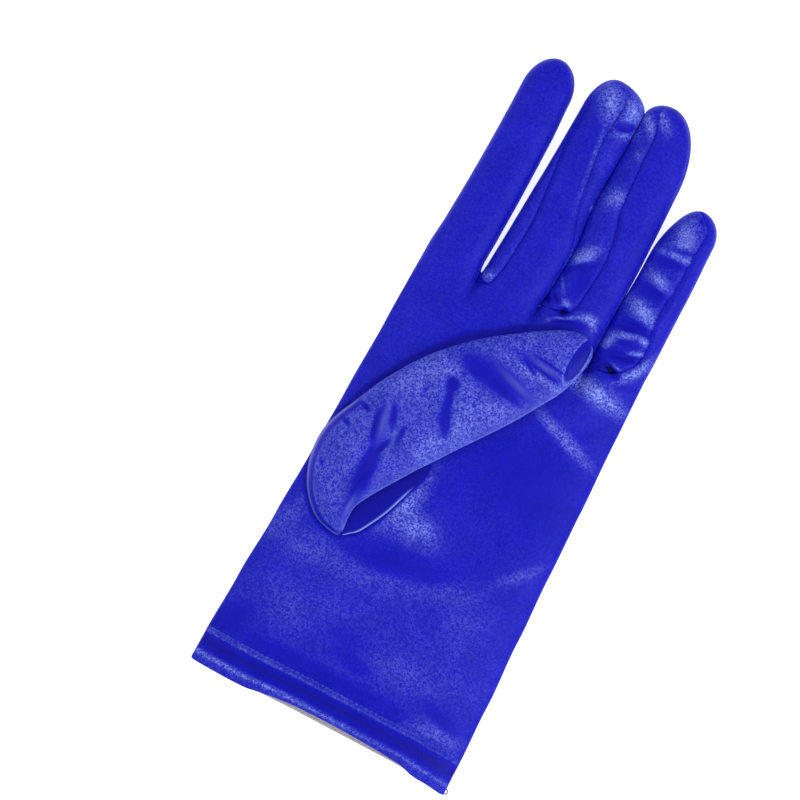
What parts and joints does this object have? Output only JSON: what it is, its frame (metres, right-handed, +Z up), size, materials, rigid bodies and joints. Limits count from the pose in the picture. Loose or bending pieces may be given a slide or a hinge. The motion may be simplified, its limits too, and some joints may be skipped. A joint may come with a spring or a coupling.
{
  "type": "wrist length dress glove",
  "caption": "Wrist length dress glove of stretch satin with side strips between the fingers, a set-in thumb folded over the palm and a stitched hem.",
  "frame": {"origin": "under the middle of the glove, on the surface it lies on", "axes": "+Y from the cuff to the fingertips, +X across the palm to the little finger, +Z up out of the palm"},
  "size_m": [0.0926, 0.2314, 0.0175],
  "materials": {
    "satin": "royal blue stretch satin with a soft, grainy sheen",
    "hem_satin": "the same satin, doubled and stitched"
  },
  "bodies": {
    "root": {"trank": "satin", "cuff_hem": "hem_satin", "thumb": "satin", "fourchette_index_middle": "satin", "fourchette_middle_ring": "satin", "fourchette_ring_little": "satin"}
  },
  "joints": []
}
